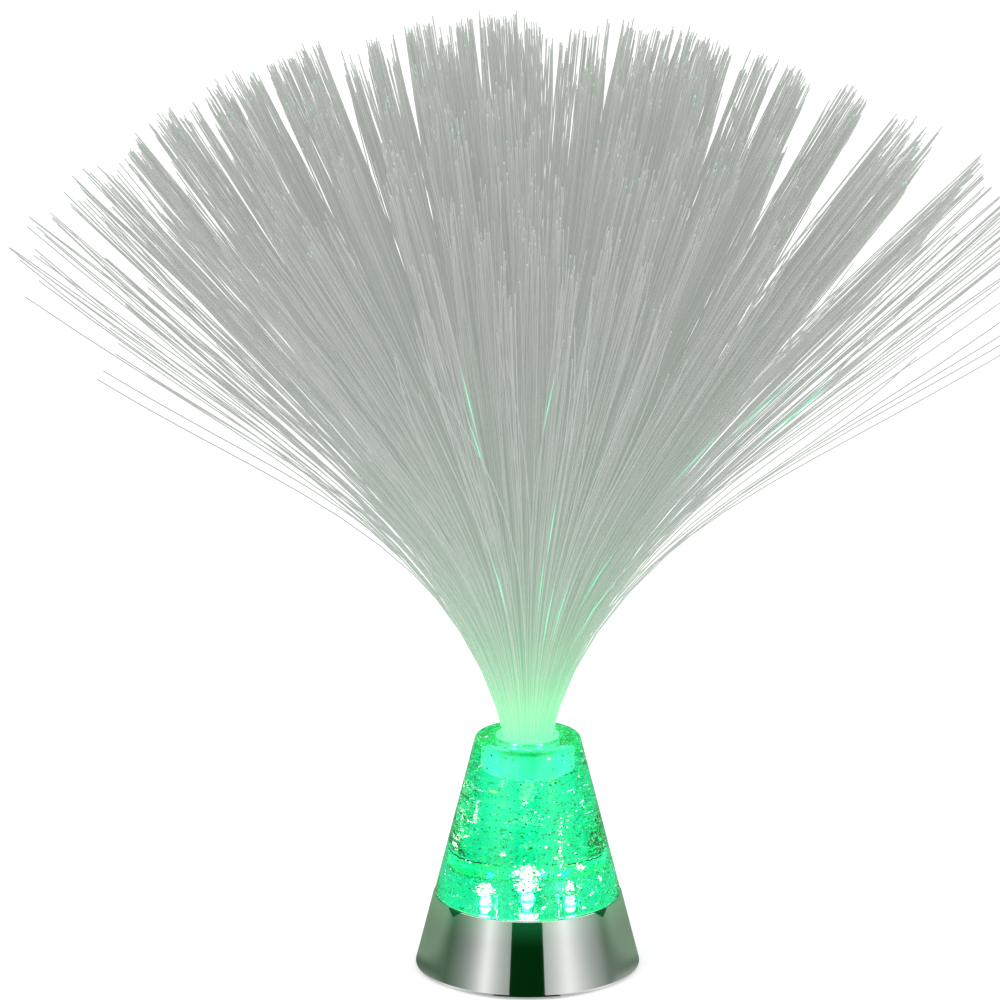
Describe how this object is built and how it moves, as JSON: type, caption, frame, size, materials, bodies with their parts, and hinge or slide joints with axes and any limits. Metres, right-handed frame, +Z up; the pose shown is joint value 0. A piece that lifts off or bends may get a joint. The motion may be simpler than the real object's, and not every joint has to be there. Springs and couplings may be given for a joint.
{
  "type": "led fibre-optic table lamp",
  "caption": "Battery table lamp: a domed spray of light fibres stands in a glitter-filled clear cone on a chrome skirt, with a slide switch and a battery door underneath.",
  "frame": {"origin": "on the lamp's axis, at the level that its feet stand on", "axes": "+Z up along the axis of the cone; -Y towards the switch, -X towards the battery door's hooks"},
  "size_m": [0.4198, 0.4016, 0.3437],
  "materials": {
    "chrome": "bright plated",
    "crystal": "clear cast acrylic full of glitter, lit green from below",
    "fibre": "clear drawn plastic strands",
    "ferrule": "satin",
    "housing": "fine moulded texture",
    "reflector": "satin white",
    "board": "white solder mask",
    "led": "clear resin",
    "resistor": "lacquered",
    "cell": "plain printed jacket",
    "contact": "nickel plated spring steel",
    "screw": "zinc plated",
    "foot": "matt",
    "knob": "fine moulded texture",
    "red_wire": "soft insulation",
    "black_wire": "soft insulation"
  },
  "bodies": {
    "base": {"chrome_skirt": "chrome", "glitter_crystal": "crystal", "base_cover": "housing", "switch_body": "housing", "reflector_disc": "reflector", "led_board": "board", "led_centre": "led", "led_ring_1": "led", "led_ring_2": "led", "led_ring_3": "led", "resistor_1": "resistor", "resistor_2": "resistor", "resistor_3": "resistor", "resistor_4": "resistor", "battery_1": "cell", "battery_2": "cell", "battery_3": "cell", "contact_positive": "contact", "contact_bridge_1": "contact", "contact_bridge_2": "contact", "contact_negative": "contact", "board_screw_1": "screw", "board_screw_2": "screw", "base_screw_1": "screw", "base_screw_2": "screw", "base_screw_3": "screw", "base_screw_4": "screw", "foot_1": "foot", "foot_2": "foot", "foot_3": "foot", "foot_4": "foot", "wire_positive": "red_wire", "wire_negative": "black_wire", "wire_switched": "black_wire"},
    "fibre_spray": {"fibre_ferrule": "ferrule", "fibre_sector_1": "fibre", "fibre_sector_2": "fibre", "fibre_sector_3": "fibre", "fibre_sector_4": "fibre", "fibre_sector_5": "fibre", "fibre_sector_6": "fibre"},
    "switch_knob": {"switch_knob": "knob"},
    "battery_door": {"battery_door": "housing"},
    "door_screw": {"door_screw": "screw"}
  },
  "joints": [
    {"name": "fibre_lift", "type": "slide", "parent": "base", "child": "fibre_spray", "axis": [0, 0, 1], "range_m": [0, 0.04]},
    {"name": "switch_slide", "type": "slide", "parent": "base", "child": "switch_knob", "axis": [-1, 0, 0], "range_m": [0, 0.003]},
    {"name": "battery_door_swing", "type": "hinge", "parent": "base", "child": "battery_door", "pos_m": [-0.02585, 0, 0.0008], "axis": [0, 1, 0], "range_deg": [0, 85]},
    {"name": "door_screw_back_out", "type": "slide", "parent": "battery_door", "child": "door_screw", "axis": [0, 0, -1], "range_m": [0, 0.0033]}
  ]
}
